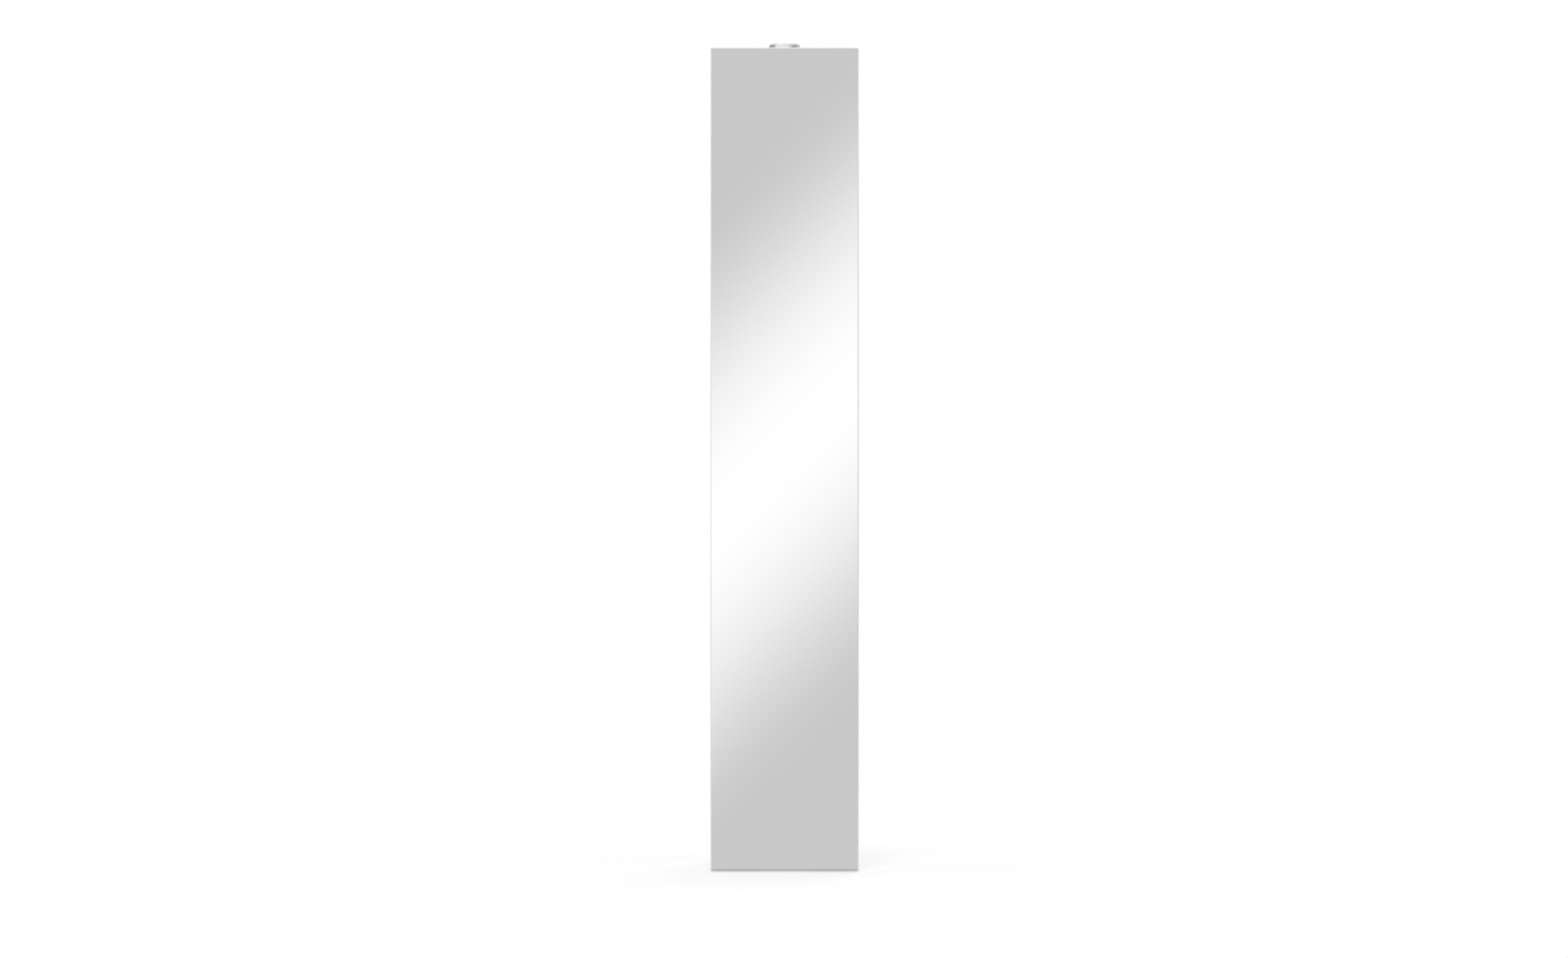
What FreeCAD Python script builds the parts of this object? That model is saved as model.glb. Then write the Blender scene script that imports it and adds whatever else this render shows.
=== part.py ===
"""Rotating mirror cabinet: a tall square column that turns on a floor turntable hidden in its base.

A full-length mirror covers the front and open shelves fill the back: half a turn brings the shelves forward.
A wall bracket holds a shoulder bolt in the middle of the top, under a round metal cap.

Millimetres, +Z up. The origin is on the turning axis at floor level. The mirror faces -Y, the wall is at +Y.
"""

import FreeCAD, Part

import math
import os

from FreeCAD import Vector

# Carcass
cabinet_width = 340.0
cabinet_depth = 340.0  # mirror face to rear edges
cabinet_height = 1885.0  # length of the sides
floor_gap = 3.0  # free height under the turning carcass
board = 16.0  # melamine-faced chipboard
edge_band = 1.0  # plastic edging on the boards' visible edges
edge_round = 0.6  # rounding of that edging
bay_count = 6  # open compartments, one above the other
shelf_gap = 0.7  # play at the ends and front of a loose shelf
shelf_setback = 8.0  # loose shelves behind the rear edges

# Mirror
glass_thickness = 4.0
glass_arris = 0.6  # ground edge of the glass
mirror_standoff = 1.0  # thickness of the foam tape and of the ledge's sheet
mirror_reveal = 2.0  # carcass showing round the glass
tape_width = 20.0
tape_inset = 12.0  # tape inside the edges of the glass
ledge_lip = 3.0  # height of the ledge's front lip
ledge_back = 14.0  # height of the ledge's back leg
ledge_screw_inset = 40.0  # outer ledge screws from the ends of the ledge

# Floor turntable
mat_thickness = 2.0
mat_inset = 18.0  # mat inside the rim of the plate, out of sight
plate_thickness = 5.0
plate_gap = 4.0  # rim of the plate to the nearest turning board
race_rim = 17.0  # plate showing outside the outer race
race_width = 18.0
race_gap = 4.4  # between the two races
race_lip = 2.0  # race above and below the ball
race_step = 1.0  # inner race stands this much above the outer one
ball_radius = 3.0
ball_count = 24
ball_clearance = 0.3  # ball to groove
pocket_clearance = 0.15  # ball to cage
cage_thickness = 2.4
cage_web = 0.85  # cage above and below its pockets
race_screw_count = 6
race_screw_turn = 30.0  # degrees from +X to the first screw
access_radius = 6.0  # hole in the plate that lets a screwdriver reach the inner race

# Upper pivot and wall bracket
pivot_plate_radius = 32.0
pivot_plate_thickness = 3.0
insert_radius = 8.0  # threaded boss let into the top panel
insert_depth = 11.0
pivot_screw_count = 4
pivot_screw_circle = 22.0  # radius
pivot_screw_turn = 45.0  # degrees from +X to the first screw
washer_radius = 30.0
washer_thickness = 2.0
running_gap = 0.3  # between flat faces that slide past each other
shoulder_radius = 6.0
shoulder_clearance = 0.05
thread_radius = 4.0
thread_length = 10.0
bolt_head_radius = 10.0
bolt_head_height = 5.0
hex_key = 6.0  # across flats
hex_depth = 3.0
bush_wall = 2.0
bush_flange_radius = 13.0
bush_flange_thickness = 1.5
bracket_thickness = 5.0
arm_width = 40.0
arm_head_radius = 32.0
bend_radius = 3.0  # inside of the bracket's bend
flange_height = 80.0
wall_hole_radius = 2.75
wall_hole_spacing = 45.0
turn_clearance = 15.0  # turning corners to the bracket's flange
cap_radius = 36.0
cap_wall = 1.5
cap_rise = 22.0  # top of the cap above the top of the cabinet
cap_round = 5.0  # outside of the cap's upper edge
cap_rib_count = 4
cap_rib_turn = 45.0  # degrees from +X to the first rib
cap_rib_thickness = 1.5
cap_rib_reach = 9.0  # ribs inward from the cap's wall
notch_gap = 0.5  # cap's notch round the arm

# Joinery
fit_gap = 0.05  # play of a piece in its own hole
hole_extra = 1.0  # blind hole beyond the end of what it holds
cam_radius = 7.5
cam_past_axis = 5.0  # cam nut beyond the bolt's axis
cam_recess = 0.5  # cam nut below the board's face
cam_reach = 24.0  # centre of a cam nut from the board's end
cam_cavity_radius = 3.9
cam_bolt_radius = 2.5
cam_bolt_depth = 11.0  # thread in the other board
cam_collar_radius = 3.6
cam_collar_length = 2.0
cam_neck_radius = 2.0
cam_head_radius = 3.4
cam_head_length = 5.0
bolt_bore_radius = 4.0
cover_radius = 9.0
cover_thickness = 1.0
cam_inset = 60.0  # cams from the front and rear ends of a board
dowel_radius = 4.0
dowel_in_face = 11.0
dowel_in_end = 19.0
dowel_chamfer = 0.8
dowel_inset = 28.0
pin_radius = 2.5
pin_depth = 9.0  # shelf pin in the side
pin_reach = 10.0  # shelf pin under the shelf
pin_width = 8.0
pin_inset = 45.0  # pin rows from the front and rear ends of a shelf
hole_pitch = 32.0  # spare pin holes above and below the used one
drive_width = 1.0  # slots of cross drives
drive_depth = 1.2
drive_share = 0.6  # length of those slots, of the head's diameter
tip_share = 0.25  # blunt end of a screw's point, of its shank

# Screws: shank radius, head radius, length
race_bolt = (2.0, 4.0, 12.0)
race_wood_screw = (2.0, 3.8, 22.0)
pivot_wood_screw = (2.0, 3.8, 15.0)
ledge_screw = (1.5, 2.75, 13.0)
plinth_screw = (1.75, 3.5, 26.0)
plinth_screw_count = 3
plinth_screw_inset = 40.0  # outer plinth screws from the ends of the plinth

UP = Vector(0, 0, 1)
DOWN = Vector(0, 0, -1)
FORWARD = Vector(0, -1, 0)
BACK = Vector(0, 1, 0)
LEFT = Vector(-1, 0, 0)
RIGHT = Vector(1, 0, 0)

# Points nearer than this are the same point
coincide = 1e-6

# Places that follow from the sizes above
half_width = cabinet_width / 2
inner_half_width = half_width - board
front_y = -cabinet_depth / 2
rear_y = cabinet_depth / 2
carcass_front_y = front_y + glass_thickness + mirror_standoff
panel_back_y = carcass_front_y + board  # inner face of the front panel
board_rear_y = rear_y - edge_band
side_front_y = carcass_front_y + edge_band
plinth_front_y = rear_y - board
side_bottom_z = floor_gap
top_z = side_bottom_z + cabinet_height

plate_top_z = mat_thickness + plate_thickness
race_height = 2 * (ball_radius + race_lip)
inner_race_z = plate_top_z + race_step
bottom_z = inner_race_z + race_height  # underside of the bottom panel
ball_z = (plate_top_z + bottom_z) / 2
plate_radius = min(inner_half_width, -panel_back_y, plinth_front_y) - plate_gap
outer_race_radius = plate_radius - race_rim
ball_pitch_radius = outer_race_radius - race_width - race_gap / 2
inner_race_radius = ball_pitch_radius - race_gap / 2
lower_screw_circle = outer_race_radius - race_width / 2
upper_screw_circle = inner_race_radius - race_width / 2

bay_floor_z = bottom_z + board
bay_ceiling_z = top_z - board
shelf_count = bay_count - 1
bay_height = (bay_ceiling_z - bay_floor_z - shelf_count * board) / bay_count
fixed_index = (shelf_count + 1) // 2

glass_half_width = half_width - mirror_reveal
glass_bottom_z = side_bottom_z + mirror_reveal
glass_top_z = top_z - mirror_reveal
ledge_bottom_z = glass_bottom_z - mirror_standoff

washer_z = top_z + pivot_plate_thickness
arm_z = washer_z + washer_thickness + running_gap
arm_top_z = arm_z + bracket_thickness
bush_radius = shoulder_radius + shoulder_clearance + bush_wall
bolt_head_z = arm_top_z + bush_flange_thickness + running_gap
turning_radius = math.hypot(half_width, max(-front_y, rear_y))
flange_y = turning_radius + turn_clearance
wall_y = flange_y + bracket_thickness

cam_height = board / 2 - cam_recess + cam_past_axis

# Holes to be made in each board, filled in by the joinery below
board_holes = {}
cam_bolts = []
cam_nuts = []
cam_covers = []
dowels = []


# Helpers

def box(x_range, y_range, z_range):
    """Block between two limits on each axis."""
    size = [high - low for low, high in (x_range, y_range, z_range)]
    return Part.makeBox(*size, Vector(x_range[0], y_range[0], z_range[0]))


def disc(radius, z_low, z_high):
    """Upright cylinder on the turning axis."""
    return Part.makeCylinder(radius, z_high - z_low, Vector(0, 0, z_low))


def ring(outer, inner, z_low, z_high):
    return disc(outer, z_low, z_high).cut(disc(inner, z_low, z_high))


def rod(radius, start, direction, length):
    return Part.makeCylinder(radius, length, start, direction)


def placed(shape, point, direction):
    """Copy of a shape drawn upwards from the origin, set at a point and pointing in a direction."""
    copy = shape.copy()
    copy.Placement = FreeCAD.Placement(point, FreeCAD.Rotation(UP, direction))
    return copy


def on_circle(radius, count, z, first_degrees):
    """Evenly spaced points round the turning axis."""
    turns = [math.radians(first_degrees + 360.0 * k / count) for k in range(count)]
    return [Vector(radius * math.cos(turn), radius * math.sin(turn), z) for turn in turns]


def one_solid(shape):
    """The single solid of a boolean result."""
    if len(shape.Solids) != 1:
        raise ValueError(f"expected one solid, found {len(shape.Solids)}")
    return shape.Solids[0]


def group(shapes):
    return Part.makeCompound([one_solid(shape) for shape in shapes])


def long_edges(shape, axis, keep):
    """Straight edges along an axis whose middle passes a test."""
    found = []
    for edge in shape.Edges:
        ends = [vertex.Point for vertex in edge.Vertexes]
        if len(ends) == 2 and (ends[1] - ends[0]).normalize().cross(axis).Length < coincide:
            if keep((ends[0] + ends[1]) / 2):
                found.append(edge)
    return found


def circles_round(shape, centre):
    """Round edges about a point."""
    return [edge for edge in shape.Edges if edge.CenterOfMass.isEqual(centre, coincide)]


# Screws

def cross_drive(head):
    """Cross-shaped recess in a head of a given radius, drawn upwards from the head's face."""
    half = drive_width / 2
    reach = drive_share * head
    slots = [
        box((-reach, reach), (-half, half), (0, drive_depth)),
        box((-half, half), (-reach, reach), (0, drive_depth)),
    ]
    return slots[0].fuse(slots[1])


def screw_form(shank, head, length, gap):
    """Countersunk head and shank, drawn from the head's face, with a gap all round for its hole."""
    head_height = head - shank
    cone = Part.makeCone(head + gap, shank + gap, head_height)
    shaft = Part.makeCylinder(shank + gap, length - head_height + gap, Vector(0, 0, head_height))
    return cone.fuse(shaft)


def screw(sizes, point, direction):
    """Countersunk screw with its head's face at a point."""
    shank, head, length = sizes
    point_length = shank
    body = screw_form(shank, head, length - point_length, 0)
    tip = Part.makeCone(shank, tip_share * shank, point_length, Vector(0, 0, length - point_length))
    made = body.fuse(tip).cut(cross_drive(head)).removeSplitter()
    return placed(made, point, direction)


def screw_hole(sizes, point, direction):
    shank, head, length = sizes
    return placed(screw_form(shank, head, length, fit_gap), point, direction)


# Joinery between boards

def add_holes(board_name, holes):
    board_holes.setdefault(board_name, []).extend(holes)


def add_cam(side_name, panel_name, point, inward, face, covered):
    """Cam bolt screwed into a side, held by a cam nut in the panel whose end meets it at a point.

    inward leads from the joint into the panel, and face leads to the panel's face that takes the cam nut.
    """
    centre = point + inward * cam_reach
    mouth = centre + face * (board / 2)
    seat = centre + face * (board / 2 - cam_recess)

    thread = rod(cam_bolt_radius, point - inward * cam_bolt_depth, inward, cam_bolt_depth)
    collar = rod(cam_collar_radius, point, inward, cam_collar_length)
    neck = rod(cam_neck_radius, point, inward, cam_reach)
    head = rod(cam_head_radius, centre - inward * (cam_head_length / 2), inward, cam_head_length)
    cam_bolts.append(thread.fuse([collar, neck, head]).removeSplitter())

    nut = rod(cam_radius, seat, -face, cam_height)
    cavity = rod(cam_cavity_radius, point, inward, cam_reach + cam_head_length / 2 + hole_extra)
    drive = placed(cross_drive(cam_radius), seat, -face)
    cam_nuts.append(nut.cut([cavity, drive]))
    if covered:
        cover = rod(cover_radius, mouth, face, cover_thickness)
        rim = circles_round(cover, mouth + face * cover_thickness)
        cam_covers.append(cover.makeFillet(cover_thickness / 2, rim))

    tap = rod(cam_bolt_radius + fit_gap, point, -inward, cam_bolt_depth + hole_extra)
    bore = rod(bolt_bore_radius, point, inward, cam_reach)
    pocket = rod(cam_radius + fit_gap, mouth, -face, cam_height + cam_recess)
    add_holes(side_name, [tap])
    add_holes(panel_name, [bore, pocket])


def add_dowel(side_name, panel_name, point, inward):
    """Dowel across the joint between the face of a side and the end of a panel."""
    dowel = rod(dowel_radius, point - inward * dowel_in_face, inward, dowel_in_face + dowel_in_end)
    rims = [edge for edge in dowel.Edges if edge.Closed]
    dowels.append(dowel.makeChamfer(dowel_chamfer, rims))
    hole = dowel_radius + fit_gap
    add_holes(side_name, [rod(hole, point, -inward, dowel_in_face + hole_extra)])
    add_holes(panel_name, [rod(hole, point, inward, dowel_in_end + hole_extra)])


SIDES = (("left_side", -1, RIGHT), ("right_side", 1, LEFT))


def join_level_board(panel_name, low_z, covered):
    """Two cams and two dowels at each end of a level board that is fixed between the sides."""
    z = low_z + board / 2
    for side_name, sign, inward in SIDES:
        for y in (panel_back_y + cam_inset, board_rear_y - cam_inset):
            add_cam(side_name, panel_name, Vector(sign * inner_half_width, y, z), inward, DOWN, covered)
        for y in (panel_back_y + dowel_inset, board_rear_y - dowel_inset):
            add_dowel(side_name, panel_name, Vector(sign * inner_half_width, y, z), inward)


def join_front_panel():
    """Cams in the first, last and two middle bays, and dowels in the others."""
    y = carcass_front_y + board / 2
    cam_bays = {0, bay_count - 1, fixed_index - 1, fixed_index}
    for bay in range(bay_count):
        z = bay_floor_z + bay * (bay_height + board) + bay_height / 2
        for side_name, sign, inward in SIDES:
            point = Vector(sign * inner_half_width, y, z)
            if bay in cam_bays:
                add_cam(side_name, "front_panel", point, inward, BACK, True)
            else:
                add_dowel(side_name, "front_panel", point, inward)


def finished(board_name, blank):
    """A board with the holes that the joinery has asked for."""
    holes = board_holes.get(board_name, [])
    return one_solid(blank.cut(holes) if holes else blank)


# Shelves

def shelf_z(index):
    """Underside of a shelf, counted from 1 at the bottom."""
    return bay_floor_z + index * bay_height + (index - 1) * board


fixed_shelf_z = shelf_z(fixed_index)
fixed_levels = (bottom_z, fixed_shelf_z, bay_ceiling_z)
loose_indexes = [index for index in range(1, bay_count) if index != fixed_index]


def level_board(low_z):
    return box((-inner_half_width, inner_half_width), (panel_back_y, board_rear_y), (low_z, low_z + board))


loose_half_width = inner_half_width - shelf_gap
loose_front_y = panel_back_y + shelf_gap
loose_rear_y = rear_y - shelf_setback - edge_band


def loose_shelf(low_z):
    return box((-loose_half_width, loose_half_width), (loose_front_y, loose_rear_y), (low_z, low_z + board))


def shelf_pins():
    """Four pins under each loose shelf, and the rows of holes that they stand in."""
    pins = []
    for index in loose_indexes:
        z = shelf_z(index)
        for side_name, sign, inward in SIDES:
            for y in (loose_front_y + pin_inset, loose_rear_y - pin_inset):
                face = Vector(sign * inner_half_width, y, z - pin_radius)
                shank = rod(pin_radius, face - inward * pin_depth, inward, pin_depth + pin_reach)
                x_ends = sorted((face.x, face.x + inward.x * pin_reach))
                blade = box(x_ends, (y - pin_width / 2, y + pin_width / 2), (z - pin_radius, z))
                pins.append(shank.fuse(blade).removeSplitter())
                for step in (-1, 0, 1):
                    start = face + UP * (step * hole_pitch)
                    hole = rod(pin_radius + fit_gap, start, -inward, pin_depth + hole_extra)
                    add_holes(side_name, [hole])
    return group(pins)


# Edge bands

def rear_band(x_range, rear, z_range, axis):
    """Plastic edging on a rear edge, rounded along its two outer long edges."""
    strip = box(x_range, (rear - edge_band, rear), z_range)
    edges = long_edges(strip, axis, lambda middle: abs(middle.y - rear) < coincide)
    return strip.makeFillet(edge_round, edges)


side_spans = ((-half_width, -inner_half_width), (inner_half_width, half_width))


def is_outer(point):
    """Whether a point lies on an upright corner of the carcass or on its upper rim."""
    at_side = abs(abs(point.x) - half_width) < coincide
    at_end = min(abs(point.y - carcass_front_y), abs(point.y - rear_y)) < coincide
    at_top = abs(point.z - top_z) < coincide
    return (at_side and at_end) or (at_top and (at_side or at_end))


def outer_band(x_range, y_range, z_range):
    """Plastic edging, rounded where it makes the outline of the carcass."""
    strip = box(x_range, y_range, z_range)
    return strip.makeFillet(edge_round, [edge for edge in strip.Edges if is_outer(edge.CenterOfMass)])


def side_edge_bands():
    """Edging on the front and rear edges of the sides."""
    z_range = (side_bottom_z, top_z - edge_band)
    bands = []
    for span in side_spans:
        bands.append(outer_band(span, (carcass_front_y, side_front_y), z_range))
        bands.append(rear_band(span, rear_y, z_range, UP))
    return group(bands)


def top_edge_bands():
    """Edging on the upper ends of the sides and of the front panel."""
    z_range = (top_z - edge_band, top_z)
    bands = [outer_band(span, (carcass_front_y, rear_y), z_range) for span in side_spans]
    panel_span = (-inner_half_width, inner_half_width)
    bands.append(outer_band(panel_span, (carcass_front_y, panel_back_y), z_range))
    return group(bands)


def shelf_edge_bands():
    """Edging on the rear edges of the level boards."""
    fixed_x = (-inner_half_width, inner_half_width)
    loose_x = (-loose_half_width, loose_half_width)
    bands = [rear_band(fixed_x, rear_y, (z, z + board), RIGHT) for z in fixed_levels]
    for index in loose_indexes:
        z = shelf_z(index)
        bands.append(rear_band(loose_x, loose_rear_y + edge_band, (z, z + board), RIGHT))
    return group(bands)


# Mirror

def mirror_glass():
    pane = box(
        (-glass_half_width, glass_half_width),
        (front_y, front_y + glass_thickness),
        (glass_bottom_z, glass_top_z),
    )
    rims = [edge for edge in pane.Edges if abs(edge.BoundBox.YLength) < coincide]
    return pane.makeChamfer(glass_arris, rims)


def mirror_tape():
    """Three upright strips of foam tape behind the glass."""
    outer = glass_half_width - tape_inset - tape_width / 2
    low = ledge_bottom_z + ledge_back + tape_inset
    y_range = (carcass_front_y - mirror_standoff, carcass_front_y)
    strips = []
    for x in (-outer, 0, outer):
        strips.append(box((x - tape_width / 2, x + tape_width / 2), y_range, (low, glass_top_z - tape_inset)))
    return group(strips)


ledge_screw_x = (ledge_screw_inset - glass_half_width, 0, glass_half_width - ledge_screw_inset)
ledge_screw_z = ledge_bottom_z + ledge_back / 2


def ledge_screw_points():
    return [Vector(x, carcass_front_y - mirror_standoff, ledge_screw_z) for x in ledge_screw_x]


def mirror_ledge():
    """Channel of thin aluminium that carries the lower edge of the glass."""
    x_range = (-glass_half_width, glass_half_width)
    lip_front_y = front_y - mirror_standoff
    floor = box(x_range, (lip_front_y, carcass_front_y), (ledge_bottom_z, glass_bottom_z))
    lip = box(x_range, (lip_front_y, front_y), (ledge_bottom_z, ledge_bottom_z + ledge_lip))
    back = box(
        x_range,
        (carcass_front_y - mirror_standoff, carcass_front_y),
        (ledge_bottom_z, ledge_bottom_z + ledge_back),
    )
    channel = floor.fuse([lip, back])
    holes = [screw_hole(ledge_screw, point, BACK) for point in ledge_screw_points()]
    return one_solid(channel.cut(holes).removeSplitter())


# Floor turntable

def floor_plate():
    blank = disc(plate_radius, mat_thickness, plate_top_z)
    screw_above = upper_screw_points()[1]
    access = Vector(screw_above.x, screw_above.y, mat_thickness)
    holes = [screw_hole(race_bolt, point, UP) for point in lower_screw_points()]
    holes.append(rod(access_radius, access, UP, plate_thickness))
    return one_solid(blank.cut(holes))


def groove():
    return Part.makeTorus(ball_pitch_radius, ball_radius + ball_clearance, Vector(0, 0, ball_z))


def lower_screw_points():
    return on_circle(lower_screw_circle, race_screw_count, mat_thickness, race_screw_turn)


def upper_screw_points():
    return on_circle(upper_screw_circle, race_screw_count, inner_race_z, race_screw_turn)


def outer_race():
    blank = ring(outer_race_radius, outer_race_radius - race_width, plate_top_z, plate_top_z + race_height)
    holes = [screw_hole(race_bolt, point, UP) for point in lower_screw_points()]
    return one_solid(blank.cut([groove(), *holes]))


def inner_race():
    blank = ring(inner_race_radius, inner_race_radius - race_width, inner_race_z, bottom_z)
    holes = [screw_hole(race_wood_screw, point, UP) for point in upper_screw_points()]
    return one_solid(blank.cut([groove(), *holes]))


def ball_points():
    return on_circle(ball_pitch_radius, ball_count, ball_z, 0.0)


def ball_cage():
    half_height = ball_radius + pocket_clearance + cage_web
    half_wall = cage_thickness / 2
    blank = ring(
        ball_pitch_radius + half_wall,
        ball_pitch_radius - half_wall,
        ball_z - half_height,
        ball_z + half_height,
    )
    pockets = []
    for point in ball_points():
        outward = Vector(point.x, point.y, 0).normalize()
        start = point - outward * cage_thickness
        pockets.append(rod(ball_radius + pocket_clearance, start, outward, 2 * cage_thickness))
    return one_solid(blank.cut(pockets))


def bearing_balls():
    return group([Part.makeSphere(ball_radius, point) for point in ball_points()])


# Upper pivot and wall bracket

def pivot_screw_points():
    return on_circle(pivot_screw_circle, pivot_screw_count, washer_z, pivot_screw_turn)


def pivot_plate():
    """Round steel plate on the top panel, with a threaded boss let into it."""
    flange = disc(pivot_plate_radius, top_z, washer_z)
    boss = disc(insert_radius, top_z - insert_depth, top_z)
    thread = disc(thread_radius + fit_gap, top_z - insert_depth, washer_z)
    holes = [screw_hole(pivot_wood_screw, point, DOWN) for point in pivot_screw_points()]
    return one_solid(flange.fuse(boss).cut([thread, *holes]).removeSplitter())


def pivot_washer():
    hole = shoulder_radius + shoulder_clearance
    return one_solid(ring(washer_radius, hole, washer_z, washer_z + washer_thickness))


def pivot_bush():
    """Flanged plastic bush in the head of the bracket."""
    sleeve = disc(bush_radius, arm_z, arm_top_z)
    flange = disc(bush_flange_radius, arm_top_z, arm_top_z + bush_flange_thickness)
    hole = disc(shoulder_radius + shoulder_clearance, arm_z, arm_top_z + bush_flange_thickness)
    return one_solid(sleeve.fuse(flange).cut(hole).removeSplitter())


def pivot_bolt():
    """Shoulder bolt with a socket head, screwed into the pivot plate."""
    thread = disc(thread_radius, washer_z - thread_length, washer_z)
    shoulder = disc(shoulder_radius, washer_z, bolt_head_z)
    head_top = bolt_head_z + bolt_head_height
    head = disc(bolt_head_radius, bolt_head_z, head_top)
    corner = hex_key / math.sqrt(3)
    corners = on_circle(corner, 6, head_top - hex_depth, 0.0)
    socket = Part.Face(Part.makePolygon([*corners, corners[0]])).extrude(UP * hex_depth)
    return one_solid(thread.fuse([shoulder, head]).cut(socket).removeSplitter())


def wall_hole_points():
    """Wall screw holes, one above the other, on the wall side of the flange."""
    middle = arm_top_z - bend_radius - flange_height / 2
    return [Vector(0, wall_y, middle + step * wall_hole_spacing / 2) for step in (-1, 1)]


def bent_bar():
    """Flat bar along +Y, bent down to a flange on the wall."""
    half_arm = arm_width / 2
    bend_y = flange_y - bend_radius
    bend_z = arm_z - bend_radius
    flange_low_z = arm_top_z - flange_height
    outer_radius = bend_radius + bracket_thickness
    slant = math.sqrt(0.5)

    def at(y, z):
        return Vector(-half_arm, y, z)

    def bend(radius):
        ends = (at(bend_y, bend_z + radius), at(bend_y + radius, bend_z))
        middle = at(bend_y + slant * radius, bend_z + slant * radius)
        return Part.Arc(ends[0], middle, ends[1]).toShape()

    outline = Part.Wire(Part.__sortEdges__([
        Part.makeLine(at(0, arm_z), at(bend_y, arm_z)),
        bend(bend_radius),
        Part.makeLine(at(flange_y, bend_z), at(flange_y, flange_low_z)),
        Part.makeLine(at(flange_y, flange_low_z), at(wall_y, flange_low_z)),
        Part.makeLine(at(wall_y, flange_low_z), at(wall_y, bend_z)),
        bend(outer_radius),
        Part.makeLine(at(bend_y, arm_top_z), at(0, arm_top_z)),
        Part.makeLine(at(0, arm_top_z), at(0, arm_z)),
    ]))
    return Part.Face(outline).extrude(RIGHT * arm_width)


def wall_bracket():
    """Bent bar with a round head over the pivot, bored for the bush and for the wall screws."""
    head = disc(arm_head_radius, arm_z, arm_top_z)
    bore = disc(bush_radius + fit_gap, arm_z, arm_top_z)
    holes = [rod(wall_hole_radius, point, FORWARD, bracket_thickness) for point in wall_hole_points()]
    return one_solid(bent_bar().fuse(head).cut([bore, *holes]).removeSplitter())


def cap_form(inset):
    """Outside of the cap, drawn in by an inset all round."""
    form_top_z = top_z + cap_rise - inset
    form = disc(cap_radius - inset, arm_z, form_top_z)
    return form.makeFillet(cap_round - inset, circles_round(form, Vector(0, 0, form_top_z)))


def cap_ribs():
    """Upright ribs on the bracket's head, which end in the middle of the cap's wall."""
    middle_of_wall = cap_form(cap_wall / 2)
    ribs = []
    for k in range(cap_rib_count):
        rib = box(
            (cap_radius - cap_wall - cap_rib_reach, cap_radius),
            (-cap_rib_thickness / 2, cap_rib_thickness / 2),
            (arm_top_z, top_z + cap_rise),
        )
        rib.rotate(Vector(0, 0, 0), UP, cap_rib_turn + 360.0 * k / cap_rib_count)
        ribs.append(rib.common(middle_of_wall))
    return ribs


def bracket_cap():
    """Round drawn cap over the head of the bracket, standing on ribs and notched for the arm."""
    notch_half = arm_width / 2 + notch_gap
    notch = box((-notch_half, notch_half), (0, cap_radius), (arm_z, arm_top_z + notch_gap))
    cup = cap_form(0).cut([cap_form(cap_wall), notch])
    return one_solid(cup.fuse(cap_ribs()).removeSplitter())


# Boards

def side_blank(sign):
    x_ends = sorted((sign * inner_half_width, sign * half_width))
    return box(x_ends, (side_front_y, board_rear_y), (side_bottom_z, top_z - edge_band))


def front_panel_blank():
    """Board behind the mirror, with pilot holes for the ledge's screws."""
    blank = box(
        (-inner_half_width, inner_half_width),
        (carcass_front_y, panel_back_y),
        (side_bottom_z, top_z - edge_band),
    )
    return blank.cut([screw_hole(ledge_screw, point, BACK) for point in ledge_screw_points()])


def top_panel_blank():
    """Top board, bored for the pivot plate's boss and screws."""
    boss = disc(insert_radius + fit_gap, top_z - insert_depth - hole_extra, top_z)
    holes = [screw_hole(pivot_wood_screw, point, DOWN) for point in pivot_screw_points()]
    return level_board(bay_ceiling_z).cut([boss, *holes])


def plinth_screw_points():
    reach = inner_half_width - plinth_screw_inset
    step = 2 * reach / (plinth_screw_count - 1)
    y = rear_y - board / 2
    return [Vector(-reach + k * step, y, side_bottom_z) for k in range(plinth_screw_count)]


def bottom_panel_blank():
    """Bottom board, with pilot holes for the inner race's screws and the plinth's."""
    holes = [screw_hole(race_wood_screw, point, UP) for point in upper_screw_points()]
    holes += [screw_hole(plinth_screw, point, UP) for point in plinth_screw_points()]
    return level_board(bottom_z).cut(holes)


def rear_plinth():
    """Strip that closes the turntable's recess at the back."""
    x_range = (-inner_half_width, inner_half_width)
    blank = box(x_range, (plinth_front_y, rear_y), (side_bottom_z, bottom_z))
    return one_solid(blank.cut([screw_hole(plinth_screw, point, UP) for point in plinth_screw_points()]))


# The joinery comes first, because it makes the holes in the boards
join_level_board("bottom_panel", bottom_z, False)
join_level_board("fixed_shelf", fixed_shelf_z, True)
join_level_board("top_panel", bay_ceiling_z, True)
join_front_panel()

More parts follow.
